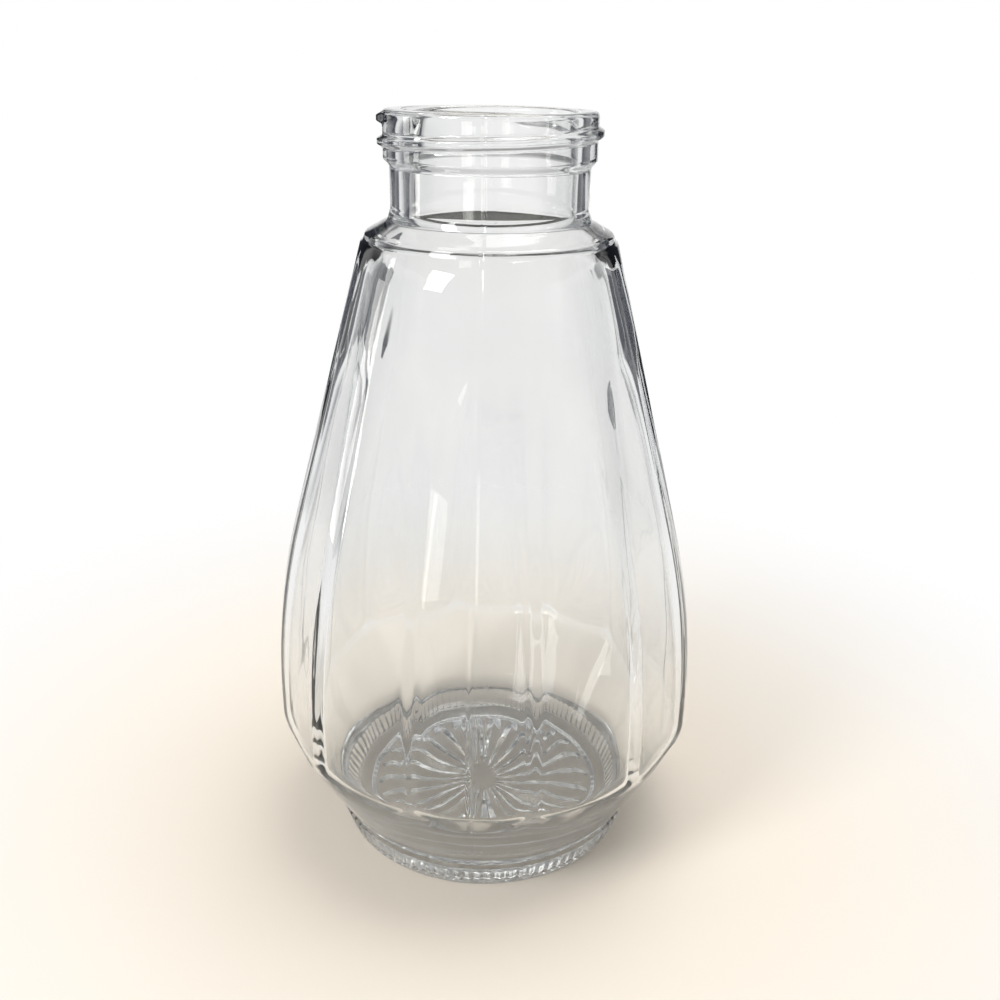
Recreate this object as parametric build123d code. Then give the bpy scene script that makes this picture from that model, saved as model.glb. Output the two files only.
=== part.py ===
from build123d import *
import os
from math import atan2, cos, pi, radians, sin, sqrt, tan

# Syrup dispenser: a panelled glass jar with a screw neck, and its hinged pouring top, which is
# screwed off and stands on the table beside the jar.
# Millimetres, +Z up. The origin is on the jar's axis, at the level that its foot stands on.
# The front of the jar, where a panel's middle lies, faces -Y, and so does the top's spout.

# Jar, outside
jar_height = 160.0
neck_height = 24.8
foot_r = 33.6
foot_ring = 6.0
foot_round = 0.8
recess_height = 1.8
recess_slope = 2.0
band_height = 6.2
band_flare = 2.0
band_step = 0.5
heel_z = 28.6
heel_round = 5.0
belly_r = 47.45
knee_z = 56.8
belly_straight = 4.76
panel_count = 12
panel_depth = 1.35
shoulder_r = 25.9
shoulder_step = 0.45
ring_rise = 1.8
ring_inset = 1.0
ring_round = 1.2
neck_foot_r = 20.4
neck_foot_rise = 4.3
neck_foot_round = 1.0
waist_r = 19.8
waist_rise = 6.5
finish_r = 21.0
finish_depth = 9.0
finish_slope = 1.4
rim_round = 0.9

# Jar, inside
jar_wall = 3.7
heel_wall = 5.0
floor_thick = 6.0
floor_round = 6.0
inner_heel_drop = 0.8
inner_heel_blend = 2.19
inner_shoulder_round = 4.0
neck_bore_r = 17.0
throat_rise = 5.0
throat_round = 3.0

# Starburst under the jar
ray_count = 24
ray_inner_r = 4.0
ray_outer_r = 24.0
ray_share = 0.94
ray_depth = 0.9
ray_start_depth = 0.25

# Screw thread, as on the jar's neck
thread_pitch = 4.2
thread_height = 1.1
thread_base = 2.6
thread_crest = 0.9
thread_sunk = 0.4
thread_turns = 1.14
thread_start_angle = 150.0
thread_start_drop = 6.35

# Place of the top beside the jar
top_x = 148.0
top_y = -45.0

# Thread ring and gasket, heights counted from the top's lower edge
thread_gap = 0.35
ring_wall = 1.85
ring_lift = 0.6
ring_top = 12.0
ring_turns = 1.2
gasket_thick = 1.2
gasket_bore_r = 16.5
gasket_gap = 0.4

# Skirt and dome
seat_gap = 0.05
skirt_wall = 1.3
skirt_height = 15.6
skirt_round = 0.6
deck_thick = 1.6
deck_bore_r = 16.0
dome_wall = 1.6
dome_r = 23.2
dome_step = 1.6
dome_flank_z = 20.0
dome_top_z = 31.5
dome_top_r = 12.6
dome_low_round = 7.0
dome_top_round = 5.0
grip_count = 60
grip_depth = 0.35
grip_r = 0.6
grip_low = 2.0
grip_high = 12.5

# Spout, as (height, centre y, half width, half depth) at three levels
spout_foot = (16.0, -9.5, 9.5, 9.5)
spout_middle = (27.0, -14.0, 8.5, 8.2)
spout_mouth = (37.0, -20.5, 7.0, 8.5)
spout_wall = 1.5
spout_lip = 0.8
lip_height = 1.6
cut_over = 2.0

# Lid
lid_gap = 0.3
lid_overlap = 1.4
pad_thick = 0.8
pad_inset = 0.5
flap_thick = 1.4
flap_round = 0.5
hinge_y = -0.5
hinge_rise = 8.0
lever_thick = 1.6
lever_width = 10.0
lever_front_y = -22.5
lever_bend_y = 1.5
lever_reach = 13.5
lever_angle = 45.0
lever_bend_r = 7.0
barrel_r = 2.7
barrel_gap = 3.4
barrel_width = 5.6
window_front = 2.9
window_back = 4.5
rivet_r = 0.9
rivet_head_r = 1.6
rivet_head = 0.8
hole_gap = 0.04
head_crown = 0.7
lid_rivet_ys = (-19.5, -14.5)

# Thumb grip
grip_pad_length = 9.0
grip_pad_width = 11.0
grip_pad_thick = 1.8
grip_pad_round = 0.8
pad_rib_count = 4
pad_rib_r = 0.6

# Hinge bracket and pin
pin_r = 1.3
pin_gap = 0.05
pin_head_r = 2.1
pin_head = 0.9
ear_gap = 0.4
ear_thick = 1.4
ear_r = 3.0
bracket_thick = 1.4
bracket_length = 10.0
bracket_y = 1.0
bracket_rivet_y = 3.0
bracket_rivet_r = 1.0
bracket_head_r = 1.7
bracket_head = 0.8

# Lid spring
spring_wire_r = 0.3
spring_coil_r = 2.1
spring_curls = 4
spring_pitch = 1.2
spring_front_leg = 8.5
spring_leg_gap = 0.3

# Finger handle
handle_width = 9.0
handle_thick = 5.0
handle_round = 1.7
handle_low_z = 5.6
handle_high_z = 29.5
handle_back_y = 51.0
handle_low_corner = 9.0
handle_high_corner = 11.0
handle_gap = 0.4
handle_upper_start = 17.6
tang_thick = 3.0
tang_height = 3.2
tang_low_end = 35.0
tang_high_end = 27.0
tang_gap = 0.06
handle_rivet_r = 1.1
handle_rivet_head_r = 1.9
handle_rivet_head = 0.8
handle_rivet_inset = 4.5

# Worked out from the sizes above
finish_z = jar_height - finish_depth
shoulder_z = jar_height - neck_height
neck_foot_z = shoulder_z + neck_foot_rise
waist_z = shoulder_z + waist_rise
throat_z = shoulder_z + throat_rise
cone_slope = atan2(belly_r - shoulder_r, shoulder_z - knee_z)
inner_heel_z = heel_z - inner_heel_drop
belly_blend = knee_z - inner_heel_z - inner_heel_blend - belly_straight
belly_curve = belly_blend / tan(cone_slope / 2)
thread_crest_r = finish_r + thread_height
inner_belly_r = belly_r - jar_wall
inner_heel_slope = atan2(inner_belly_r - foot_r + heel_wall, inner_heel_z - floor_thick)
inner_heel_round = inner_heel_blend / tan(inner_heel_slope / 2)
inner_shoulder_r = shoulder_r - jar_wall
ring_bore_r = thread_crest_r + thread_gap
ring_r = ring_bore_r + ring_wall
seated_lift = jar_height - ring_top
deck_z = ring_top + gasket_thick
deck_top_z = deck_z + deck_thick
skirt_bore_r = ring_r + seat_gap
skirt_r = skirt_bore_r + skirt_wall
mouth_z = spout_mouth[0]
pad_z = mouth_z + lid_gap
flap_z = pad_z + pad_thick
lever_z = flap_z + flap_thick
hinge_z = dome_top_z + hinge_rise
ear_x = barrel_width + ear_gap
pin_half = ear_x + ear_thick
top_place = Location((top_x, top_y, 0))


def turned(corners):
    # Turns a closed outline about Z: each corner is (radius, height, rounding).
    points = [(r, z) for r, z, _ in corners]
    rounds = [rounding for _, _, rounding in corners]
    outline = FilletPolyline(*points, radius=rounds, close=True)
    return revolve(Plane.XZ * make_face(outline), Axis.Z)


def tube(outer_r, inner_r, low_z, high_z):
    wall = Circle(outer_r) - Circle(inner_r)
    return Pos(0, 0, low_z) * extrude(wall, high_z - low_z)


def rod_z(radius, x, y, low_z, high_z):
    return Pos(x, y, low_z) * extrude(Circle(radius), high_z - low_z)


def rod_x(radius, low_x, high_x, y, z):
    return Pos(low_x, y, z) * extrude(Plane.YZ * Circle(radius), high_x - low_x)


def block(low, high):
    size = [b - a for a, b in zip(low, high)]
    centre = [(a + b) / 2 for a, b in zip(low, high)]
    return Pos(*centre) * Box(*size)


def oval(level, grow, z):
    # One level of the spout, grown by a margin and laid at a height.
    _, centre_y, half_x, half_y = level
    return Pos(0, centre_y, z) * Ellipse(half_x + grow, half_y + grow)


def thread_ridge(base_r, crest_r, start_z, start_angle, turns):
    # A right-hand ridge along a helix, between a base radius inside the wall and its crest.
    path = Helix(thread_pitch, thread_pitch * turns, base_r)
    section = Polyline(
        (base_r, -thread_base / 2),
        (crest_r, -thread_crest / 2),
        (crest_r, thread_crest / 2),
        (base_r, thread_base / 2),
        close=True,
    )
    ridge = sweep(Plane.XZ * make_face(section), path=path, is_frenet=True)
    return Pos(0, 0, start_z) * Rot(0, 0, start_angle) * ridge


# Jar

def jar_outside():
    return turned([
        (0, recess_height, 0),
        (foot_r - foot_ring - recess_slope, recess_height, foot_round),
        (foot_r - foot_ring, 0, foot_round),
        (foot_r, 0, foot_round),
        (foot_r + band_flare, band_height, 0),
        (foot_r + band_flare - band_step, band_height + band_step, 0),
        (belly_r, heel_z, heel_round),
        (belly_r, knee_z, belly_curve),
        (shoulder_r, shoulder_z, 0),
        (shoulder_r - shoulder_step, shoulder_z + shoulder_step / 2, 0),
        (shoulder_r - ring_inset, shoulder_z + ring_rise, ring_round),
        (neck_foot_r, neck_foot_z, neck_foot_round),
        (waist_r, waist_z, neck_foot_round),
        (waist_r, finish_z - finish_slope, neck_foot_round),
        (finish_r, finish_z, rim_round / 2),
        (finish_r, jar_height, rim_round),
        (0, jar_height, 0),
    ])


def jar_inside():
    # The jar's hollow before its panels, with the flare at the mouth that rounds the rim's inner edge.
    flare_r = neck_bore_r + 2 * rim_round
    return turned([
        (0, floor_thick, 0),
        (foot_r - heel_wall, floor_thick, floor_round),
        (inner_belly_r, inner_heel_z, inner_heel_round),
        (inner_belly_r, knee_z, belly_curve),
        (inner_shoulder_r, shoulder_z, inner_shoulder_round),
        (neck_bore_r, throat_z, throat_round),
        (neck_bore_r, jar_height, rim_round),
        (flare_r, jar_height, 0),
        (flare_r, jar_height + cut_over, 0),
        (0, jar_height + cut_over, 0),
    ])


def panelled(body, flat_r, top_r):
    # Cuts a round body flat on every side: upright up to the knee, then leaning in to the shoulder.
    corners = [
        (flat_r, -cut_over, 0),
        (flat_r, knee_z, belly_curve),
        (top_r, shoulder_z, 0),
        (top_r, jar_height + 2 * cut_over, 0),
    ]
    mirrored = [(-x, z, rounding) for x, z, rounding in reversed(corners)]
    points = [(x, z) for x, z, _ in corners + mirrored]
    rounds = [rounding for _, _, rounding in corners + mirrored]
    outline = FilletPolyline(*points, radius=rounds, close=True)
    slab = Rot(0, 0, 90) * extrude(Plane.XZ * make_face(outline), 2 * belly_r, both=True)
    for k in range(panel_count // 2):
        body = body & (Rot(0, 0, k * 360 / panel_count) * slab)
    return body


def starburst_ray():
    # A tapered groove with two flat flanks, cut up into the jar's bottom along +X.
    half_angle = radians(180 / ray_count) * ray_share
    sections = []
    for r, depth in ((ray_inner_r, ray_start_depth), (ray_outer_r, ray_depth)):
        # The triangle starts below the bottom's face, and has its named width on that face.
        below = depth / 2
        half_width = r * tan(half_angle) * (depth + below) / depth
        triangle = Polyline(
            (-half_width, recess_height - below),
            (half_width, recess_height - below),
            (0, recess_height + depth),
            close=True,
        )
        sections.append(Plane((r, 0, 0), x_dir=(0, 1, 0), z_dir=(1, 0, 0)) * make_face(triangle))
    return loft(sections)


def glass_jar():
    outside = panelled(jar_outside(), belly_r - panel_depth, shoulder_r)
    inside = panelled(jar_inside(), inner_belly_r - panel_depth, inner_shoulder_r)
    jar = outside - inside
    ray = starburst_ray()
    jar = jar - [Rot(0, 0, (k + 0.5) * 360 / ray_count) * ray for k in range(ray_count)]
    ridge = thread_ridge(
        finish_r - thread_sunk,
        thread_crest_r,
        jar_height - thread_start_drop,
        thread_start_angle,
        thread_turns,
    )
    return jar + ridge


# Top: ring, gasket, skirt, dome and spout

def thread_ring():
    # Its ridge lies half a pitch under the jar's when the top is screwed on.
    ring = tube(ring_r, ring_bore_r, ring_lift, ring_top)
    ridge = thread_ridge(
        ring_bore_r + thread_sunk,
        ring_bore_r - thread_height,
        jar_height - thread_start_drop - seated_lift - thread_pitch / 2,
        thread_start_angle,
        ring_turns,
    )
    return ring + ridge


def neck_gasket():
    return tube(ring_r - gasket_gap, gasket_bore_r, ring_top, deck_z)


def dome_outside():
    # The dome without its hollow: its flange is as wide as the skirt that it is soldered on.
    return turned([
        (0, deck_top_z, 0),
        (skirt_r, deck_top_z, 0),
        (skirt_r, skirt_height, skirt_round),
        (dome_r, skirt_height + dome_step, skirt_round),
    ] + dome_outline(0))


def spout_duct():
    low = oval(spout_foot, -spout_wall, spout_foot[0] - cut_over)
    middle = oval(spout_middle, -spout_wall, spout_middle[0])
    high = oval(spout_mouth, -spout_wall, mouth_z)
    return loft([low, middle, high]) + extrude(high, cut_over)


def dome_outline(inset):
    # The dome's outline from the skirt's step to its top, moved inwards by the inset.
    return [
        (dome_r - inset, dome_flank_z - inset / 2, dome_low_round - inset),
        (dome_top_r - inset / 2, dome_top_z - inset, dome_top_round - inset),
        (0, dome_top_z - inset, 0),
    ]


def grip_cuts():
    cut = rod_z(grip_r, skirt_r + grip_r - grip_depth, 0, grip_low, grip_high)
    return [Rot(0, 0, k * 360 / grip_count) * cut for k in range(grip_count)]


def tang(start_y, end_y, z):
    # A flat tongue that stands out behind the top and holds one end of the handle.
    half = tang_thick / 2
    plate = block((-half, start_y, z - tang_height / 2), (half, end_y, z + tang_height / 2))
    hole = rod_x(handle_rivet_r + hole_gap, -half, half, end_y - handle_rivet_inset, z)
    return plate - hole


def bracket_rivet_holes():
    radius = bracket_rivet_r + hole_gap
    low_z = dome_top_z - dome_wall - cut_over / 2
    high_z = dome_top_z + bracket_thick + cut_over / 2
    ys = (bracket_y - bracket_rivet_y, bracket_y + bracket_rivet_y)
    return [rod_z(radius, 0, y, low_z, high_z) for y in ys]


def pour_spout():
    # A flared tube that is soldered on the dome, around the hole that its duct makes there.
    levels = (spout_foot, spout_middle, spout_mouth)
    horn = loft([oval(level, 0, level[0]) for level in levels])
    lip = extrude(oval(spout_mouth, spout_lip, mouth_z - lip_height), lip_height)
    lip = fillet(lip.edges(), lip_height / 3)
    return (horn + lip) - spout_duct() - dome_outside()


def cap_skirt():
    # A gripped ring round the thread, closed above by a deck with a hole for the syrup.
    wall = turned([
        (skirt_bore_r, 0, 0),
        (skirt_r, 0, skirt_round),
        (skirt_r, deck_top_z, 0),
        (deck_bore_r, deck_top_z, 0),
        (deck_bore_r, deck_z, 0),
        (skirt_bore_r, deck_z, 0),
    ])
    return wall + tang(skirt_r - skirt_wall / 2, tang_low_end, handle_low_z) - grip_cuts()


def pour_dome():
    inside = turned([
        (0, deck_top_z, 0),
        (dome_r - dome_wall, deck_top_z, 0),
    ] + dome_outline(dome_wall))
    dome = dome_outside() + tang(0, tang_high_end, handle_high_z)
    return dome - inside - spout_duct() - bracket_rivet_holes()


# Lid

def lid_rivet_holes(low_z, high_z):
    return [rod_z(rivet_r + hole_gap, 0, y, low_z, high_z) for y in lid_rivet_ys]


def lid_flap():
    plate = extrude(oval(spout_mouth, lid_overlap, flap_z), flap_thick)
    plate = fillet(plate.edges().group_by(Axis.Z)[-1], flap_round)
    return plate - lid_rivet_holes(flap_z, lever_z)


def lid_pad():
    return extrude(oval(spout_mouth, lid_overlap - pad_inset, pad_z), pad_thick)


def lever_end():
    # The middle of the strip's thumb end, as (y, z).
    middle_z = lever_z + lever_thick / 2
    return (lever_bend_y + lever_reach, middle_z + lever_reach * tan(radians(lever_angle)))


def lid_lever():
    middle_z = lever_z + lever_thick / 2
    path = FilletPolyline(
        (lever_front_y, middle_z),
        (lever_bend_y, middle_z),
        lever_end(),
        radius=lever_bend_r,
    )
    strip = extrude(Plane.YZ * trace(path, lever_thick), lever_width / 2, both=True)
    barrel = rod_x(barrel_r, -barrel_width, barrel_width, hinge_y, hinge_z)
    window = block(
        (-barrel_gap, hinge_y - window_front, hinge_z - barrel_r - cut_over),
        (barrel_gap, hinge_y + window_back, hinge_z + 2 * barrel_r + cut_over),
    )
    bore = rod_x(pin_r + pin_gap, -pin_half, pin_half, hinge_y, hinge_z)
    lever = (strip + barrel) - window - bore
    return lever - lid_rivet_holes(lever_z - cut_over, lever_z + lever_thick + cut_over)


def lid_rivets():
    rivets = []
    for y in lid_rivet_ys:
        shank = rod_z(rivet_r, 0, y, flap_z, lever_z + lever_thick)
        head = rod_z(rivet_head_r, 0, y, lever_z + lever_thick, lever_z + lever_thick + rivet_head)
        head = fillet(head.edges().group_by(Axis.Z)[-1], rivet_head * head_crown)
        rivets.append(shank + head)
    return Compound(children=[Solid(r.solids()[0].wrapped) for r in rivets])


def thumb_grip():
    # A ribbed pad on the face of the lever's end that the thumb presses back.
    rise = radians(lever_angle)
    along = Vector(0, cos(rise), sin(rise))
    up = Vector(0, -sin(rise), cos(rise))
    end_y, end_z = lever_end()
    centre = Vector(0, end_y, end_z) - along * (grip_pad_length / 2) + up * (lever_thick / 2)
    face = Plane(centre, x_dir=(1, 0, 0), z_dir=up)
    pad = extrude(face * RectangleRounded(grip_pad_width, grip_pad_length, grip_pad_round), grip_pad_thick)
    ribs = []
    step = grip_pad_length / pad_rib_count
    for k in range(pad_rib_count):
        shift = (k + 0.5 - pad_rib_count / 2) * step
        place = centre + along * shift + up * grip_pad_thick
        ribs.append(rod_x(pad_rib_r, -grip_pad_width / 2, grip_pad_width / 2, place.Y, place.Z))
    return pad + ribs


# Hinge

def hinge_bracket():
    base = block(
        (-pin_half, bracket_y - bracket_length / 2, dome_top_z),
        (pin_half, bracket_y + bracket_length / 2, dome_top_z + bracket_thick),
    )
    outline = make_hull(
        (Pos(hinge_y, hinge_z) * Circle(ear_r)).edges()
        + (Pos(bracket_y, dome_top_z + bracket_thick / 2) * Rectangle(bracket_length, bracket_thick)).edges()
    )
    ear = extrude(Plane.YZ * outline, ear_thick)
    bracket = base + Pos(ear_x, 0, 0) * ear + Pos(-pin_half, 0, 0) * ear
    bore = rod_x(pin_r + pin_gap, -pin_half - cut_over, pin_half + cut_over, hinge_y, hinge_z)
    return bracket - bore - bracket_rivet_holes()


def bracket_rivets():
    rivets = []
    seat_z = dome_top_z + bracket_thick
    for y in (bracket_y - bracket_rivet_y, bracket_y + bracket_rivet_y):
        shank = rod_z(bracket_rivet_r, 0, y, dome_top_z - dome_wall, seat_z)
        head = rod_z(bracket_head_r, 0, y, seat_z, seat_z + bracket_head)
        head = fillet(head.edges().group_by(Axis.Z)[-1], bracket_head * head_crown)
        rivets.append(shank + head)
    return Compound(children=[Solid(r.solids()[0].wrapped) for r in rivets])


def hinge_pin():
    shank = rod_x(pin_r, -pin_half, pin_half, hinge_y, hinge_z)
    heads = []
    for side in (-1, 1):
        head = rod_x(pin_head_r, pin_half, pin_half + pin_head, hinge_y, hinge_z)
        head = fillet(head.edges().group_by(Axis.X)[-1], pin_head * head_crown)
        if side < 0:
            head = mirror(head, Plane.YZ)
        heads.append(head)
    return shank + heads


# Spring

def coil_point(turn):
    # A point on the spring's coil and its heading: turn 0 is at the top, heading back.
    angle = 2 * pi * turn
    x = (turn - (spring_curls + 0.25) / 2) * spring_pitch
    point = Vector(x, hinge_y + spring_coil_r * sin(angle), hinge_z + spring_coil_r * cos(angle))
    heading = Vector(
        spring_pitch / (2 * pi), spring_coil_r * cos(angle), -spring_coil_r * sin(angle)
    )
    return point, heading.normalized()


def biarc(start, start_heading, end, end_heading):
    # Two arcs that leave the start and reach the end along the given headings.
    chord = end - start
    both = start_heading + end_heading
    turn = 2 * (1 - start_heading.dot(end_heading))
    across = chord.dot(both)
    reach = (sqrt(across ** 2 + turn * chord.dot(chord)) - across) / turn
    joint = (start + end + (start_heading - end_heading) * reach) / 2
    joint_heading = (end - end_heading * reach) - (start + start_heading * reach)
    return [
        Edge.make_tangent_arc(start, start_heading, joint),
        Edge.make_tangent_arc(joint, joint_heading.normalized(), end),
    ]


def spring_path():
    quarters = 4 * spring_curls + 1
    stations = [coil_point(k / 4) for k in range(quarters + 1)]
    first, first_heading = stations[0]
    last, last_heading = stations[-1]
    low_z = dome_top_z + bracket_thick + spring_leg_gap
    edges = [Edge.make_line(first - first_heading * spring_front_leg, first)]
    for (a, heading_a), (b, heading_b) in zip(stations, stations[1:]):
        edges += biarc(a, heading_a, b, heading_b)
    edges.append(Edge.make_line(last, last + last_heading * (last.Z - low_z)))
    return Wire(edges)


def lid_spring(path):
    section = Plane(path @ 0, z_dir=path % 0) * Circle(spring_wire_r)
    return sweep(section, path=path)


def spring_gap(path):
    # The least clear distance between stretches of the wire that are half a curl apart or more.
    steps = 24 * (spring_curls + 1)
    points = [path @ (k / steps) for k in range(steps + 1)]
    apart = pi * spring_coil_r
    step_length = path.length / steps
    gaps = []
    for i, a in enumerate(points):
        for j in range(i + 1, len(points)):
            if (j - i) * step_length >= apart:
                gaps.append((a - points[j]).length - 2 * spring_wire_r)
    return min(gaps)


# Handle

def finger_handle():
    path = FilletPolyline(
        (0, skirt_r + handle_gap, handle_low_z),
        (0, handle_back_y - handle_low_corner / 2, handle_low_z),
        (0, handle_back_y, (handle_low_z + handle_high_z) / 2),
        (0, handle_back_y - handle_high_corner, handle_high_z),
        (0, handle_upper_start, handle_high_z),
        radius=[handle_low_corner, handle_high_corner, handle_low_corner],
    )
    section = Plane(path @ 0, x_dir=(1, 0, 0), z_dir=path % 0)
    bar = sweep(section * RectangleRounded(handle_width, handle_thick, handle_round), path=path)
    for end_y, z in ((tang_low_end, handle_low_z), (tang_high_end, handle_high_z)):
        half = tang_thick / 2 + tang_gap
        half_height = tang_height / 2 + tang_gap
        bar = bar - block((-half, 0, z - half_height), (half, end_y + tang_gap, z + half_height))
        y = end_y - handle_rivet_inset
        bar = bar - rod_x(handle_rivet_r + hole_gap, -handle_width, handle_width, y, z)
    return bar


def handle_rivets():
    rivets = []
    half = handle_width / 2
    for end_y, z in ((tang_low_end, handle_low_z), (tang_high_end, handle_high_z)):
        y = end_y - handle_rivet_inset
        head = rod_x(handle_rivet_head_r, half, half + handle_rivet_head, y, z)
        head = fillet(head.edges().group_by(Axis.X)[-1], handle_rivet_head * head_crown)
        rivet = rod_x(handle_rivet_r, -half, half, y, z) + head + mirror(head, Plane.YZ)
        rivets.append(rivet)
    return Compound(children=[Solid(r.solids()[0].wrapped) for r in rivets])


# Everything

spring_line = spring_path()
top_pieces = {
    "thread_ring": thread_ring(),
    "neck_gasket": neck_gasket(),
    "cap_skirt": cap_skirt(),
    "pour_dome": pour_dome(),
    "pour_spout": pour_spout(),
    "lid_flap": lid_flap(),
    "lid_pad": lid_pad(),
    "lid_lever": lid_lever(),
    "lid_rivets": lid_rivets(),
    "thumb_grip": thumb_grip(),
    "hinge_bracket": hinge_bracket(),
    "bracket_rivets": bracket_rivets(),
    "hinge_pin": hinge_pin(),
    "lid_spring": lid_spring(spring_line),
    "finger_handle": finger_handle(),
    "handle_rivets": handle_rivets(),
}

os.makedirs("parts", exist_ok=True)
export_step(glass_jar(), "parts/glass_jar.step")
for name, piece in top_pieces.items():
    export_step(top_place * piece, f"parts/{name}.step")
print("least gap between the spring's curls, mm:", round(spring_gap(spring_line), 2))
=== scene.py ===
import bpy
from math import cos, pi, radians, sin, tan
from mathutils import Matrix, Vector


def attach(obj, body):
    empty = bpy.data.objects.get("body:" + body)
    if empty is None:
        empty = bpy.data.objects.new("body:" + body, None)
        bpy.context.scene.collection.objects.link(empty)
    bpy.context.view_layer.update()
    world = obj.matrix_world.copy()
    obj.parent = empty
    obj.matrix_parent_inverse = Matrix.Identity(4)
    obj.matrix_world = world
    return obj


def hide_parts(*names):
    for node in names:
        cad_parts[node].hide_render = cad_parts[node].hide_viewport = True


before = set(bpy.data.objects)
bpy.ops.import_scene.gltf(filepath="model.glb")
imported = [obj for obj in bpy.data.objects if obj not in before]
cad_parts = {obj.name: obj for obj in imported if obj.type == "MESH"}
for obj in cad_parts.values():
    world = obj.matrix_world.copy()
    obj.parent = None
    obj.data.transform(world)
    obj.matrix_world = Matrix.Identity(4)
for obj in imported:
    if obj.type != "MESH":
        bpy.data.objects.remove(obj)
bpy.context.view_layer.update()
mm = 0.001
scene = bpy.context.scene


# Small helpers for node trees

def addNode(tree, kind, inputs=None, **settings):
    node = tree.nodes.new(kind)
    for key, value in settings.items():
        setattr(node, key, value)
    for key, value in (inputs or {}).items():
        if isinstance(value, Field):
            value = value.socket
        if isinstance(value, bpy.types.NodeSocket):
            tree.links.new(value, node.inputs[key])
        else:
            node.inputs[key].default_value = value
    return node


class Field:
    # A number in a node tree, so that the sums in a tree can be written as sums.
    def __init__(self, tree, socket):
        self.tree = tree
        self.socket = socket

    def calc(self, operation, *others):
        inputs = dict(enumerate((self,) + others))
        node = addNode(self.tree, "ShaderNodeMath", inputs, operation=operation)
        return Field(self.tree, node.outputs[0])

    def __add__(self, other):
        return self.calc("ADD", other)

    def __sub__(self, other):
        return self.calc("SUBTRACT", other)

    def __mul__(self, other):
        return self.calc("MULTIPLY", other)

    def __truediv__(self, other):
        return self.calc("DIVIDE", other)

    def most(self, other):
        return self.calc("MAXIMUM", other)

    def least(self, other):
        return self.calc("MINIMUM", other)

    def clamped(self):
        return self.most(0.0).least(1.0)

    def wrapped(self, half):
        # the angle, turned by whole steps until it lies between -half and half
        return self.calc("WRAP", half, half * -1.0)

    def eased(self):
        # 0 to 1 with a soft start and end
        share = self.clamped()
        return share * share * ((share * -2.0) + 3.0)


def newTree(name, inputs):
    tree = bpy.data.node_groups.new(name, "GeometryNodeTree")
    tree.interface.new_socket("Geometry", in_out="INPUT", socket_type="NodeSocketGeometry")
    for label, kind in inputs.items():
        tree.interface.new_socket(label, in_out="INPUT", socket_type="NodeSocket" + kind)
    tree.interface.new_socket("Geometry", in_out="OUTPUT", socket_type="NodeSocketGeometry")
    start = tree.nodes.new("NodeGroupInput")
    fields = {label: Field(tree, start.outputs[label]) for label in ["Geometry", *inputs]}
    return tree, fields


def endTree(tree, geometry, material):
    real = addNode(tree, "GeometryNodeRealizeInstances", {"Geometry": geometry})
    painted = addNode(tree, "GeometryNodeSetMaterial", {
        "Geometry": real.outputs[0], "Material": material,
    })
    end = tree.nodes.new("NodeGroupOutput")
    tree.links.new(painted.outputs[0], end.inputs["Geometry"])


def runTree(piece, tree, values):
    modifier = piece.modifiers.new(tree.name, "NODES")
    modifier.node_group = tree
    for item in tree.interface.items_tree:
        if item.in_out == "INPUT" and item.name in values:
            modifier[item.identifier] = values[item.name]
    shaped = piece.evaluated_get(bpy.context.evaluated_depsgraph_get())
    mesh = bpy.data.meshes.new_from_object(shaped)
    piece.modifiers.remove(modifier)
    piece.data = mesh
    return piece


def newPiece(name, points, edges=(), faces=()):
    mesh = bpy.data.meshes.new(name)
    mesh.from_pydata(points, edges, faces)
    piece = bpy.data.objects.new(name, mesh)
    scene.collection.objects.link(piece)
    return piece


# Materials

def newMaterial(name):
    material = bpy.data.materials.new(name)
    material.use_nodes = True
    tree = material.node_tree
    tree.nodes.clear()
    place = addNode(tree, "ShaderNodeTexCoord").outputs["Object"]
    return material, tree, place


def noise(tree, place, scale, detail=2.0, stretch=(1, 1, 1)):
    # Scale is in features per metre.
    spot = addNode(tree, "ShaderNodeMapping", {"Vector": place, "Scale": stretch}).outputs[0]
    node = addNode(tree, "ShaderNodeTexNoise", {"Vector": spot, "Scale": scale, "Detail": detail})
    return node.outputs["Fac"]


def ramp(tree, value, low, high, start=0.3, end=0.7):
    # A colour or a grey level that runs from low to high as the value runs from start to end.
    node = addNode(tree, "ShaderNodeValToRGB", {"Fac": value})
    for stop, place, colour in zip(node.color_ramp.elements, (start, end), (low, high)):
        stop.position = place
        stop.color = (*colour, 1) if isinstance(colour, tuple) else (colour, colour, colour, 1)
    return node.outputs["Color"]


def bump(tree, height, depth, under=None):
    # Depth is in metres. It can lie on the normal of a coarser bump.
    inputs = {"Height": height, "Distance": depth, "Strength": 1.0}
    if under is not None:
        inputs["Normal"] = under
    return addNode(tree, "ShaderNodeBump", inputs).outputs[0]


def finishMaterial(tree, shader, volume=None):
    end = addNode(tree, "ShaderNodeOutputMaterial", {"Surface": shader.outputs[0]})
    if volume:
        tree.links.new(volume.outputs[0], end.inputs["Volume"])


glass = {
    "tintLow": (0.925, 0.93, 0.925),
    "tintHigh": (0.965, 0.965, 0.96),
    "ior": 1.52,
    "absorbColour": (0.54, 0.58, 0.60, 1),
    "absorbDensity": 17.0,      # per metre
    "roughLow": 0.0,
    "roughHigh": 0.008,
    "roughFrom": 0.55,          # height of the wave where the gloss starts to fall
    "roughTo": 0.8,
    "waveScale": 70.0,
    "waveStretch": (1, 1, 0.45),
    "waveDepth": 0.00025,
    "grainScale": 900.0,
    "grainDepth": 0.0000004,
}


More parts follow.
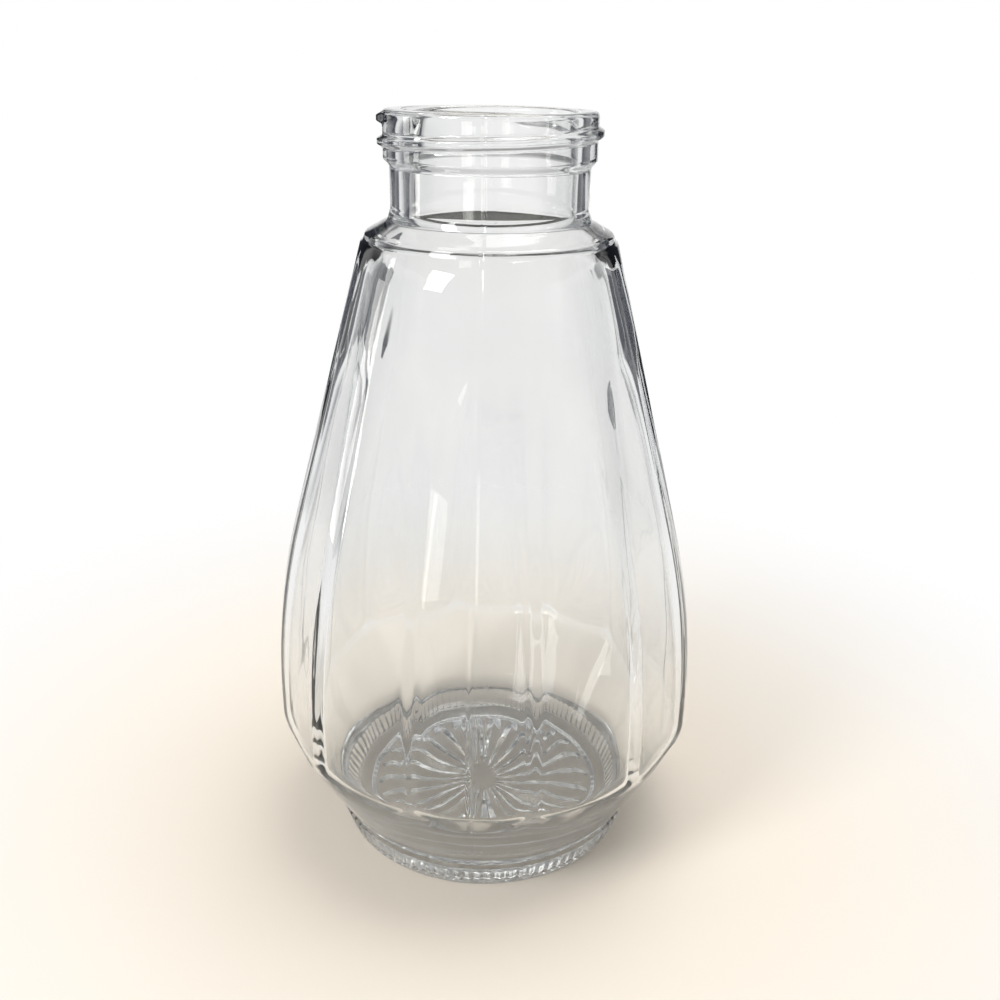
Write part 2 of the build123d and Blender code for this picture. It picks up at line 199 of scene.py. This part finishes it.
def clearGlass():
    s = glass
    material, tree, place = newMaterial("clearGlass")
    wave = noise(tree, place, s["waveScale"], 1.0, s["waveStretch"])
    grain = noise(tree, place, s["grainScale"], 2.0)
    coarse = bump(tree, wave, s["waveDepth"])
    shader = addNode(tree, "ShaderNodeBsdfPrincipled", {
        "Base Color": ramp(tree, wave, s["tintLow"], s["tintHigh"]),
        "Roughness": ramp(
            tree, wave, s["roughLow"], s["roughHigh"], s["roughFrom"], s["roughTo"]),
        "IOR": s["ior"],
        "Transmission Weight": 1.0,
        "Normal": bump(tree, grain, s["grainDepth"], coarse),
    })
    absorb = addNode(tree, "ShaderNodeVolumeAbsorption", {
        "Color": s["absorbColour"], "Density": s["absorbDensity"],
    })
    finishMaterial(tree, shader, absorb)
    return material


chrome = {
    "dark": (0.70, 0.71, 0.73),
    "light": (0.80, 0.81, 0.83),
    "cloudScale": 160.0,
    "roughLow": 0.05,
    "roughHigh": 0.13,
    "roughFrom": 0.35,
    "roughTo": 0.75,
    "scratchScale": 700.0,
    "scratchStretch": (1, 1, 0.06),
    "peelScale": 420.0,
    "peelDepth": 0.00002,
}


def chromePlate(name):
    s = chrome
    material, tree, place = newMaterial(name)
    cloud = noise(tree, place, s["cloudScale"], 3.0)
    scratch = noise(tree, place, s["scratchScale"], 2.0, s["scratchStretch"])
    peel = noise(tree, place, s["peelScale"], 1.0)
    shader = addNode(tree, "ShaderNodeBsdfPrincipled", {
        "Base Color": ramp(tree, cloud, s["dark"], s["light"]),
        "Metallic": 1.0,
        "Roughness": ramp(
            tree, scratch, s["roughLow"], s["roughHigh"], s["roughFrom"], s["roughTo"]),
        "Normal": bump(tree, peel, s["peelDepth"]),
    })
    finishMaterial(tree, shader)
    return material


steel = {
    "grainScale": 1500.0,
    "grainDepth": 0.00001,
    "cloudScale": 200.0,
    "darkShare": 0.8,
    "rivetSteel": {
        "colour": (0.62, 0.61, 0.60), "roughLow": 0.18, "roughHigh": 0.34, "stretch": (1, 1, 1),
    },
    "springWire": {
        "colour": (0.55, 0.56, 0.58), "roughLow": 0.16, "roughHigh": 0.30, "stretch": (0.2, 1, 1),
    },
}


def brushedSteel(name):
    own = steel[name]
    material, tree, place = newMaterial(name)
    grain = noise(tree, place, steel["grainScale"], 3.0, own["stretch"])
    cloud = noise(tree, place, steel["cloudScale"], 2.0)
    dark = tuple(steel["darkShare"] * level for level in own["colour"])
    shader = addNode(tree, "ShaderNodeBsdfPrincipled", {
        "Base Color": ramp(tree, cloud, dark, own["colour"]),
        "Metallic": 1.0,
        "Roughness": ramp(tree, grain, own["roughLow"], own["roughHigh"]),
        "Normal": bump(tree, grain, steel["grainDepth"]),
    })
    finishMaterial(tree, shader)
    return material


plastic = {
    "cloudScale": 90.0,
    "grainScale": 2600.0,
    "blackPlastic": {
        "dark": (0.012, 0.012, 0.013), "light": (0.022, 0.022, 0.024),
        "roughLow": 0.22, "roughHigh": 0.38, "grainDepth": 0.00001,
    },
    "ringPlastic": {
        "dark": (0.70, 0.69, 0.66), "light": (0.78, 0.77, 0.74),
        "roughLow": 0.35, "roughHigh": 0.5, "grainDepth": 0.00001,
    },
    "sealRubber": {
        "dark": (0.62, 0.60, 0.57), "light": (0.70, 0.68, 0.64),
        "roughLow": 0.5, "roughHigh": 0.7, "grainDepth": 0.00002,
    },
}


def mouldedPlastic(name):
    own = plastic[name]
    material, tree, place = newMaterial(name)
    cloud = noise(tree, place, plastic["cloudScale"], 3.0)
    grain = noise(tree, place, plastic["grainScale"], 2.0)
    shader = addNode(tree, "ShaderNodeBsdfPrincipled", {
        "Base Color": ramp(tree, cloud, own["dark"], own["light"]),
        "Roughness": ramp(tree, grain, own["roughLow"], own["roughHigh"]),
        "Normal": bump(tree, grain, own["grainDepth"]),
    })
    finishMaterial(tree, shader)
    return material


# Jar: the outline of the construction, in millimetres and degrees, with deeper rays,
# and with the ribs, lines and waves that are too fine for the construction

jar = {
    "height": 160.0, "footR": 33.6, "footRing": 6.0, "footRound": 0.8,
    "recess": 1.8, "recessSlope": 2.0, "bandHeight": 6.2, "bandFlare": 2.0, "bandStep": 0.5,
    "heelZ": 28.6, "heelRound": 5.0, "bellyR": 47.45, "kneeZ": 56.8, "bellyCurve": 163.41,
    "panelCount": 12, "panelDepth": 1.35, "panelSoft": 0.06, "innerSoft": 1.8,
    "shoulderR": 25.9, "shoulderZ": 135.2, "shoulderStep": 0.45,
    "ringRise": 1.8, "ringInset": 1.0, "ringRound": 1.2,
    "neckFootR": 20.4, "neckFootZ": 139.5, "neckRound": 1.0,
    "waistR": 19.8, "waistZ": 141.7, "finishR": 21.0, "finishDepth": 9.0, "finishSlope": 1.4,
    "rimRound": 0.9, "boreR": 17.0, "throatZ": 140.2, "throatRound": 3.0,
    "innerShoulderRound": 4.0, "wall": 3.7, "heelWall": 5.0,
    "innerHeelZ": 27.8, "innerHeelRound": 7.0, "floorThick": 6.0, "floorRound": 6.0,
    "innerPanelDrop": 6.0,      # how far under the shoulder the panels end inside
    "columns": 480, "ribCount": 96, "ribDepth": 0.42, "seamDepth": 0.26, "seamHalfWidth": 0.45,
    "waviness": 0.22, "waveScale": 55.0, "waveSquash": 0.6, "seed": 4.0,
    "threadPitch": 4.2, "threadHeight": 1.1, "threadBase": 2.6, "threadCrest": 0.9,
    "threadTurns": 1.14, "threadStartAngle": 150.0, "threadStartDrop": 6.35, "threadFade": 14.0,
    "rayCount": 24, "rayInnerR": 4.0, "rayOuterR": 24.0, "rayShare": 0.94,
    "rayStartDepth": 0.25, "rayDepth": 1.7, "rayEnd": 1.6, "rayBow": 1.5,
}


def jarCorners():
    # Corners of half a section: radius, height, rounding, rows in the rounding,
    # rows up to the next corner, and what the stretch up to the next corner carries.
    s = jar
    footInner = s["footR"] - s["footRing"]
    bandR = s["footR"] + s["bandFlare"]
    ringR = s["shoulderR"] - s["ringInset"]
    stepR = s["shoulderR"] - s["shoulderStep"]
    finishZ = s["height"] - s["finishDepth"]
    innerBelly = s["bellyR"] - s["wall"]
    return [
        (0, s["recess"], 0, 0, 2, "rays"),
        (s["rayInnerR"], s["recess"], 0, 0, 15, "rays"),
        (s["rayOuterR"], s["recess"], 0, 0, 1, "rays"),
        (footInner - s["recessSlope"], s["recess"], s["footRound"], 2, 1, ""),
        (footInner, 0, s["footRound"], 2, 2, ""),
        (s["footR"], 0, s["footRound"], 3, 9, "knurl"),
        (bandR, s["bandHeight"], 0, 0, 1, "band"),
        (bandR - s["bandStep"], s["bandHeight"] + s["bandStep"], 0, 0, 5, "side"),
        (s["bellyR"], s["heelZ"], s["heelRound"], 7, 5, "side"),
        (s["bellyR"], s["kneeZ"], s["bellyCurve"], 10, 10, "side"),
        (s["shoulderR"], s["shoulderZ"], 0, 0, 1, "side"),
        (stepR, s["shoulderZ"] + s["shoulderStep"] / 2, 0, 0, 2, "side"),
        (ringR, s["shoulderZ"] + s["ringRise"], s["ringRound"], 4, 2, "side"),
        (s["neckFootR"], s["neckFootZ"], s["neckRound"], 3, 1, "side"),
        (s["waistR"], s["waistZ"], s["neckRound"], 2, 4, "side"),
        (s["waistR"], finishZ - s["finishSlope"], s["neckRound"], 2, 2, "side"),
        (s["finishR"], finishZ, s["rimRound"] / 2, 2, 25, "thread"),
        (s["finishR"], s["height"], s["rimRound"], 4, 2, ""),
        (s["boreR"], s["height"], s["rimRound"], 4, 6, "inside"),
        (s["boreR"], s["throatZ"], s["throatRound"], 5, 3, "inside"),
        (s["shoulderR"] - s["wall"], s["shoulderZ"], s["innerShoulderRound"], 5, 14, "inside"),
        (innerBelly, s["kneeZ"], s["bellyCurve"], 7, 3, "inside"),
        (innerBelly, s["innerHeelZ"], s["innerHeelRound"], 7, 3, "inside"),
        (s["footR"] - s["heelWall"], s["floorThick"], s["floorRound"], 6, 7, "inside"),
        (0, s["floorThick"], 0, 0, 0, "inside"),
    ]


def roundedRows(corners):
    # The points of an outline with rounded corners: radius, height and what they carry.
    spots = [Vector((r, z)) for r, z, *_ in corners]
    stretches = []
    for k, (_, _, rounding, arcRows, _, _) in enumerate(corners):
        here = spots[k]
        if rounding:
            before = (spots[k - 1] - here).normalized()
            after = (spots[k + 1] - here).normalized()
            half = before.angle(after) / 2
            centre = here + (before + after).normalized() * rounding / sin(half)
            first = here + before * rounding / tan(half) - centre
            last = here + after * rounding / tan(half) - centre
            arc = []
            for step in range(arcRows + 1):
                share = step / arcRows
                turn = pi - 2 * half
                arm = (first * sin((1 - share) * turn) + last * sin(share * turn)) / sin(turn)
                arc.append(centre + arm)
        else:
            arc = [here]
        stretches.append(arc)
    rows = []
    for k, (arc, corner) in enumerate(zip(stretches, corners)):
        carried = corners[k - 1][5] if k else corner[5]
        for spot in arc[:-1]:
            rows.append((spot.x, spot.y, carried))
        rows.append((arc[-1].x, arc[-1].y, corner[5]))
        if k + 1 < len(corners):
            start, end = arc[-1], stretches[k + 1][0]
            for step in range(1, corner[4]):
                spot = start.lerp(end, step / corner[4])
                rows.append((spot.x, spot.y, corner[5]))
    return rows


def flatLimit(z, flatRows):
    # How far from the axis the middle of a panel lies at a height.
    for (lowR, lowZ, _), (highR, highZ, _) in zip(flatRows, flatRows[1:]):
        if lowZ <= z <= highZ:
            return lowR + (highR - lowR) * (z - lowZ) / max(highZ - lowZ, 1e-9)
    return flatRows[-1][0]


def flatRadii(rows, flatRows, carrying, lowestR, highestZ):
    # The limit in metres for each row that has panels. The others get one that none reaches.
    limits = []
    for r, z, what in rows:
        flat = what == carrying and r > lowestR and z < highestZ
        limits.append(flatLimit(z, flatRows) * mm if flat else 1.0)
    return limits


def jarRows():
    s = jar
    curveRows = 24
    hair = 0.01
    flatR = s["bellyR"] - s["panelDepth"]
    flatRows = roundedRows([
        (flatR, 0, 0, 0, 1, ""),
        (flatR, s["kneeZ"], s["bellyCurve"], curveRows, 1, ""),
        (s["shoulderR"], s["shoulderZ"], 0, 0, 1, ""),
        (s["shoulderR"], s["height"], 0, 0, 1, ""),
    ])
    innerRows = roundedRows([
        (flatR - s["wall"], 0, 0, 0, 1, ""),
        (flatR - s["wall"], s["kneeZ"], s["bellyCurve"], curveRows, 1, ""),
        (s["shoulderR"] - s["wall"], s["shoulderZ"], 0, 0, 1, ""),
    ])
    innerTop = s["shoulderZ"] - s["innerPanelDrop"]
    rows = roundedRows(jarCorners())
    piece = newPiece("glassJar", [(r * mm, 0, z * mm) for r, z, _ in rows])
    carries = {
        "flatR": flatRadii(rows, flatRows, "side", 0, s["shoulderZ"] + hair),
        "innerFlatR": flatRadii(rows, innerRows, "inside", s["footR"] - s["heelWall"], innerTop),
        "knurl": [float(what == "knurl" and z > s["footRound"] / 2) for _, z, what in rows],
        "thread": [float(what == "thread") for _, _, what in rows],
        "rays": [float(what == "rays") for _, _, what in rows],
        "inside": [float(what == "inside" and r > 0) for r, _, what in rows],
        "seam": [float(what in ("side", "thread", "band")) for _, _, what in rows],
    }
    for name, values in carries.items():
        piece.data.attributes.new(name, "FLOAT", "POINT").data.foreach_set("value", values)
    print("jar rows", len(rows))
    return piece


def jarTree():
    tree, given = newTree("jarShape", {
        "Columns": "Int", "PanelCount": "Float", "PanelSoft": "Float", "InnerSoft": "Float",
        "RibCount": "Float", "RibDepth": "Float",
        "SeamDepth": "Float", "SeamHalfWidth": "Float",
        "Waviness": "Float", "WaveScale": "Float", "WaveSquash": "Float", "Seed": "Float",
        "ThreadPitch": "Float", "ThreadHeight": "Float", "ThreadBase": "Float",
        "ThreadCrest": "Float", "ThreadTurns": "Float", "ThreadStartAngle": "Float",
        "ThreadStartZ": "Float", "ThreadFade": "Float",
        "RayCount": "Float", "RayInnerR": "Float", "RayOuterR": "Float", "RayShare": "Float",
        "RayStartDepth": "Float", "RayDepth": "Float", "RayEnd": "Float", "RayBow": "Float",
        "Material": "Material",
    })
    outline = given["Geometry"].socket
    size = addNode(tree, "GeometryNodeAttributeDomainSize", {"Geometry": outline})
    rows = Field(tree, size.outputs["Point Count"])
    grid = addNode(tree, "GeometryNodeMeshGrid", {
        "Size X": 1.0, "Size Y": 1.0, "Vertices X": given["Columns"] + 1.0, "Vertices Y": rows,
    })
    index = Field(tree, addNode(tree, "GeometryNodeInputIndex").outputs[0])
    row = index.calc("MODULO", rows)
    nudge = 0.0001      # so that a whole number stays whole after the division
    column = (index / rows + nudge).calc("FLOOR")
    angle = column / given["Columns"] * (2 * pi)

    def carried(name):
        value = addNode(tree, "GeometryNodeInputNamedAttribute", {"Name": name}, data_type="FLOAT")
        taken = addNode(tree, "GeometryNodeSampleIndex", {
            "Geometry": outline, "Value": value.outputs["Attribute"], "Index": row,
        }, data_type="FLOAT", domain="POINT")
        return Field(tree, taken.outputs["Value"])

    where = addNode(tree, "GeometryNodeInputPosition").outputs[0]
    spot = addNode(tree, "GeometryNodeSampleIndex", {
        "Geometry": outline, "Value": where, "Index": row,
    }, data_type="FLOAT_VECTOR", domain="POINT")
    parts = addNode(tree, "ShaderNodeSeparateXYZ", {"Vector": spot.outputs["Value"]})
    r = Field(tree, parts.outputs["X"])
    z = Field(tree, parts.outputs["Z"])

    # flat panels
    fullTurn = Field(tree, addNode(tree, "ShaderNodeValue").outputs[0])
    fullTurn.socket.default_value = 2 * pi
    halfPanel = fullTurn / given["PanelCount"] / 2.0
    turn = angle.wrapped(halfPanel).calc("COSINE")
    r = r.calc("SMOOTH_MIN", carried("flatR") / turn, given["PanelSoft"])
    r = r.calc("SMOOTH_MIN", carried("innerFlatR") / turn, given["InnerSoft"])

    # upright ribs round the foot band
    rib = (angle * given["RibCount"]).calc("COSINE") * 0.5 + 0.5
    r = r - rib * given["RibDepth"] * carried("knurl")

    # fine sunk lines at the front and the back, where the mould's halves met
    off = (angle - pi / 2).wrapped(fullTurn / 4.0).calc("ABSOLUTE") * r
    line = (given["SeamHalfWidth"] - off) / given["SeamHalfWidth"]
    r = r - line.eased() * given["SeamDepth"] * carried("seam")

    # screw thread, whose second turn starts over the first
    turned = angle - given["ThreadStartAngle"]
    turned = turned - (turned / fullTurn).calc("FLOOR") * fullTurn
    ridge = None
    for lap in (0, 1):
        along = turned + 2 * pi * lap
        middle = given["ThreadStartZ"] + along / fullTurn * given["ThreadPitch"]
        away = (z - middle).calc("ABSOLUTE")
        flank = (given["ThreadBase"] - given["ThreadCrest"]) / 2.0
        height = ((given["ThreadBase"] / 2.0 - away) / flank).eased()
        start = (along / given["ThreadFade"]).eased()
        end = ((given["ThreadTurns"] * fullTurn - along) / given["ThreadFade"]).eased()
        height = height * start * end
        ridge = height if ridge is None else ridge.most(height)
    r = r + ridge * given["ThreadHeight"] * carried("thread")

    # grooves of the starburst, cut up into the bottom
    halfRay = fullTurn / given["RayCount"] / 2.0
    aside = ((angle - halfRay).wrapped(halfRay) / halfRay / given["RayShare"]).calc("ABSOLUTE")
    outwards = (r - given["RayInnerR"]) / (given["RayOuterR"] - given["RayInnerR"])
    deeper = given["RayDepth"] - given["RayStartDepth"]
    depth = given["RayStartDepth"] + deeper * outwards.clamped()
    roundEnd = given["RayOuterR"] - aside * aside * given["RayEnd"] * given["RayBow"]
    outerEnd = ((roundEnd - r) / given["RayEnd"]).eased()
    shut = outerEnd * ((r - given["RayInnerR"]) / given["RayEnd"]).eased()
    groove = (aside * -1.0 + 1.0).clamped()
    z = z + depth * groove * shut * carried("rays")

    # soft waves on the inner wall, as pressed glass has
    squashed = z * given["WaveSquash"]
    wave = addNode(tree, "ShaderNodeTexNoise", {
        "Vector": addNode(tree, "ShaderNodeCombineXYZ", {
            "X": r * angle.calc("COSINE"), "Y": r * angle.calc("SINE"), "Z": squashed,
        }).outputs[0],
        "W": given["Seed"], "Scale": given["WaveScale"], "Detail": 1.0,
    }, noise_dimensions="4D")
    sway = Field(tree, wave.outputs["Fac"]) - 0.5
    r = r + sway * 2.0 * given["Waviness"] * carried("inside")

    place = addNode(tree, "ShaderNodeCombineXYZ", {
        "X": r * angle.calc("COSINE"), "Y": r * angle.calc("SINE"), "Z": z,
    })
    shaped = addNode(tree, "GeometryNodeSetPosition", {
        "Geometry": grid.outputs["Mesh"], "Position": place.outputs[0],
    })
    weld = 0.002 * mm       # closes the turn and the poles
    closed = addNode(tree, "GeometryNodeMergeByDistance", {
        "Geometry": shaped.outputs[0], "Distance": weld,
    })
    smooth = addNode(tree, "GeometryNodeSetShadeSmooth", {
        "Geometry": closed.outputs[0], "Shade Smooth": True,
    })
    endTree(tree, smooth.outputs[0], given["Material"])
    return tree


def buildJar(material):
    s = jar
    piece = runTree(jarRows(), jarTree(), {
        "Columns": s["columns"], "PanelCount": float(s["panelCount"]),
        "PanelSoft": s["panelSoft"] * mm, "InnerSoft": s["innerSoft"] * mm,
        "RibCount": float(s["ribCount"]), "RibDepth": s["ribDepth"] * mm,
        "SeamDepth": s["seamDepth"] * mm, "SeamHalfWidth": s["seamHalfWidth"] * mm,
        "Waviness": s["waviness"] * mm, "WaveScale": s["waveScale"],
        "WaveSquash": s["waveSquash"], "Seed": s["seed"],
        "ThreadPitch": s["threadPitch"] * mm, "ThreadHeight": s["threadHeight"] * mm,
        "ThreadBase": s["threadBase"] * mm, "ThreadCrest": s["threadCrest"] * mm,
        "ThreadTurns": s["threadTurns"], "ThreadStartAngle": radians(s["threadStartAngle"]),
        "ThreadStartZ": (s["height"] - s["threadStartDrop"]) * mm,
        "ThreadFade": radians(s["threadFade"]),
        "RayCount": float(s["rayCount"]), "RayShare": s["rayShare"],
        "RayInnerR": s["rayInnerR"] * mm, "RayOuterR": s["rayOuterR"] * mm,
        "RayStartDepth": s["rayStartDepth"] * mm, "RayDepth": s["rayDepth"] * mm,
        "RayEnd": s["rayEnd"] * mm, "RayBow": s["rayBow"],
        "Material": material,
    })
    mesh = piece.data
    volume = 0.0        # below zero where the faces point inwards
    for triangle in mesh.loop_triangles:
        a, b, c = (mesh.vertices[k].co for k in triangle.vertices)
        volume += a.dot(b.cross(c)) / 6
    if volume < 0:
        mesh.flip_normals()
    print("jar triangles", len(mesh.loop_triangles), "and ml of glass", round(abs(volume) * 1e6, 1))
    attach(piece, "jar")
    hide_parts("glass_jar")


# Floor, light and camera

white = (1, 1, 1, 1)
studio = {
    "floorHalf": 12.0,
    "floorColour": (0.83, 0.75, 0.64, 1),
    "floorLift": 0.04,
    "fadeStart": 0.04,      # metres from the jar's axis, where the floor starts to fade to white
    "fadeEnd": 0.21,
    "worldLevel": 0.46,
    "skyDim": 0.34,         # what metal and glass see overhead
    "skyLow": 0.10,         # slopes between which they see it dim
    "skyHigh": 0.55,
}


def squareCorners(halfWidth, halfHeight):
    return [(-halfWidth, -halfHeight, 0), (halfWidth, -halfHeight, 0),
            (halfWidth, halfHeight, 0), (-halfWidth, halfHeight, 0)]


def seenDirectly(tree):
    # 1 for what the camera sees, also in metal and through glass
    path = addNode(tree, "ShaderNodeLightPath")
    seen = Field(tree, path.outputs["Is Camera Ray"])
    return seen.most(path.outputs["Is Glossy Ray"]).most(path.outputs["Is Transmission Ray"])


def buildFloor():
    s = studio
    floor = newPiece("floor", squareCorners(s["floorHalf"], s["floorHalf"]), faces=[(0, 1, 2, 3)])
    material, tree, place = newMaterial("paleFloor")
    away = addNode(tree, "ShaderNodeVectorMath", {0: place}, operation="LENGTH").outputs["Value"]
    far = (Field(tree, away) - s["fadeStart"]) / (s["fadeEnd"] - s["fadeStart"])
    seen = seenDirectly(tree)
    paint = addNode(tree, "ShaderNodeBsdfDiffuse", {"Color": s["floorColour"]})
    lift = addNode(tree, "ShaderNodeEmission", {"Color": white, "Strength": seen * s["floorLift"]})
    near = addNode(tree, "ShaderNodeAddShader", {0: paint.outputs[0], 1: lift.outputs[0]})
    beyond = addNode(tree, "ShaderNodeEmission", {"Color": white, "Strength": 1.0})
    mixed = addNode(tree, "ShaderNodeMixShader", {
        0: far.eased() * seen, 1: near.outputs[0], 2: beyond.outputs[0],
    })
    finishMaterial(tree, mixed)
    floor.data.materials.append(material)


def buildWorld():
    world = bpy.data.worlds.new("studio")
    scene.world = world
    world.use_nodes = True
    tree = world.node_tree
    tree.nodes.clear()
    path = addNode(tree, "ShaderNodeLightPath")
    mirrored = Field(tree, path.outputs["Is Glossy Ray"]).most(path.outputs["Is Transmission Ray"])
    heading = addNode(tree, "ShaderNodeTexCoord").outputs["Generated"]
    rise = Field(tree, addNode(tree, "ShaderNodeSeparateXYZ", {"Vector": heading}).outputs["Z"])
    s = studio
    overhead = ((rise - s["skyLow"]) / (s["skyHigh"] - s["skyLow"])).eased()
    shown = overhead * (s["skyDim"] - 1.0) + 1.0
    strength = mirrored * (shown - s["worldLevel"]) + s["worldLevel"]
    strength = strength.most(path.outputs["Is Camera Ray"])
    sky = addNode(tree, "ShaderNodeBackground", {"Color": white, "Strength": strength})
    addNode(tree, "ShaderNodeOutputWorld", {"Surface": sky.outputs[0]})


lamps = {
    # place, what it points at, width, height, watts
    "windowLeft": ((-0.42, -0.42, 0.52), (0, 0, 0.09), 0.22, 0.34, 2.7),
    "softTop": ((0.15, 0.10, 0.80), (0.05, 0, 0.05), 0.60, 0.45, 3.6),
}
cards = {
    # place, what it faces, width, height, colour, share of the half width where it starts to fade
    "cardLeft": ((-0.30, 0.02, 0.15), (0, 0.02, 0.10), 0.46, 0.36, (0.13, 0.14, 0.165), 0.4),
    "cardRight": ((0.36, 0.02, 0.15), (0, 0.02, 0.10), 0.46, 0.36, (0.13, 0.14, 0.165), 0.4),
    "shadeLeft": ((-0.25, 0.36, 0.15), (0, 0, 0.10), 0.24, 0.40, (0.05, 0.055, 0.07), 0.7),
    "shadeRight": ((0.27, 0.36, 0.15), (0, 0, 0.10), 0.24, 0.40, (0.05, 0.055, 0.07), 0.7),
    "windowStrip": ((-0.27, 0.01, 0.12), (0, 0, 0.10), 0.04, 0.14, (4.5, 4.45, 4.3), 1.0),
    "windowLow": ((-0.16, -0.42, 0.10), (0, 0, 0.06), 0.08, 0.09, (4.0, 3.95, 3.8), 1.0),
}


def faceTarget(thing, place, target):
    thing.location = place
    thing.rotation_euler = (Vector(target) - Vector(place)).to_track_quat("-Z", "Y").to_euler()


def addLamp(name, place, target, width, height, watts):
    data = bpy.data.lights.new(name, "AREA")
    data.shape = "RECTANGLE"
    data.size = width
    data.size_y = height
    data.energy = watts
    lamp = bpy.data.objects.new(name, data)
    faceTarget(lamp, place, target)
    scene.collection.objects.link(lamp)


def addCard(name, place, target, width, height, colour, softFrom):
    # A card that only metal and glass see. Its rim fades to the white around it.
    halfWidth, halfHeight = width / 2, height / 2
    card = newPiece(name, squareCorners(halfWidth, halfHeight), faces=[(0, 1, 2, 3)])
    faceTarget(card, place, target)
    material, tree, within = newMaterial(name)
    spot = addNode(tree, "ShaderNodeSeparateXYZ", {"Vector": within})
    across = Field(tree, spot.outputs["X"]).calc("ABSOLUTE") / halfWidth
    along = Field(tree, spot.outputs["Y"]).calc("ABSOLUTE") / halfHeight
    rim = 1.001         # just past the edge, so that a hard edge divides by no zero
    faded = ((across.most(along) - softFrom) / (rim - softFrom)).eased()
    own = addNode(tree, "ShaderNodeEmission", {"Color": (*colour, 1), "Strength": 1.0})
    around = addNode(tree, "ShaderNodeEmission", {"Color": white, "Strength": 1.0})
    mixed = addNode(tree, "ShaderNodeMixShader", {
        0: faded, 1: own.outputs[0], 2: around.outputs[0],
    })
    finishMaterial(tree, mixed)
    card.data.materials.append(material)
    card.visible_camera = False
    card.visible_diffuse = False
    card.visible_shadow = False
    card.visible_volume_scatter = False


cameraSizes = {
    "lens": 38.03,          # mm, on a sensor 36 mm wide
    "distance": 0.21658,    # from the jar's axis
    "height": 0.16941,
    "around": 3.2,          # degrees that the camera stands to the right of the jar's front
    "pitch": 22.781,
    "yaw": 0.771,
    "roll": 0.894,
    "clipStart": 0.01,
    "clipEnd": 60.0,
}


def buildCamera():
    s = cameraSizes
    pitch, yaw, roll, around = (radians(s[key]) for key in ("pitch", "yaw", "roll", "around"))
    forward = Vector((sin(yaw) * cos(pitch), cos(yaw) * cos(pitch), -sin(pitch)))
    level = Vector((cos(yaw), -sin(yaw), 0))
    down = forward.cross(level)
    right = level * cos(roll) - down * sin(roll)
    down = level * sin(roll) + down * cos(roll)
    axes = Matrix((right, -down, -forward)).transposed().to_4x4()
    spot = Matrix.Translation((0, -s["distance"], s["height"]))
    data = bpy.data.cameras.new("camera")
    data.lens = s["lens"]
    data.sensor_width = 36.0
    data.clip_start = s["clipStart"]
    data.clip_end = s["clipEnd"]
    camera = bpy.data.objects.new("camera", data)
    camera.matrix_world = Matrix.Rotation(around, 4, "Z") @ spot @ axes
    scene.collection.objects.link(camera)
    scene.camera = camera


finishes = {
    "chromePlate": (chromePlate, [
        "cap_skirt", "pour_dome", "pour_spout", "lid_flap", "lid_lever", "hinge_bracket",
    ]),
    "rivetSteel": (brushedSteel, ["lid_rivets", "bracket_rivets", "hinge_pin", "handle_rivets"]),
    "springWire": (brushedSteel, ["lid_spring"]),
    "blackPlastic": (mouldedPlastic, ["finger_handle", "thumb_grip"]),
    "ringPlastic": (mouldedPlastic, ["thread_ring"]),
    "sealRubber": (mouldedPlastic, ["neck_gasket", "lid_pad"]),
}


def paintTop():
    for name, (finish, nodes) in finishes.items():
        material = finish(name)
        for node in nodes:
            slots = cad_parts[node].data.materials
            slots.clear()
            slots.append(material)


def setRender():
    scene.view_settings.view_transform = "Standard"
    cycles = scene.cycles
    cycles.use_denoising = True
    cycles.max_bounces = 24
    cycles.transmission_bounces = 20
    cycles.glossy_bounces = 12
    cycles.diffuse_bounces = 3
    cycles.sample_clamp_indirect = 4.0


buildCamera()
setRender()
buildFloor()
buildWorld()
for name, sizes in lamps.items():
    addLamp(name, *sizes)
for name, sizes in cards.items():
    addCard(name, *sizes)
print("studio built")
buildJar(clearGlass())
print("jar built")
paintTop()
print("top painted")
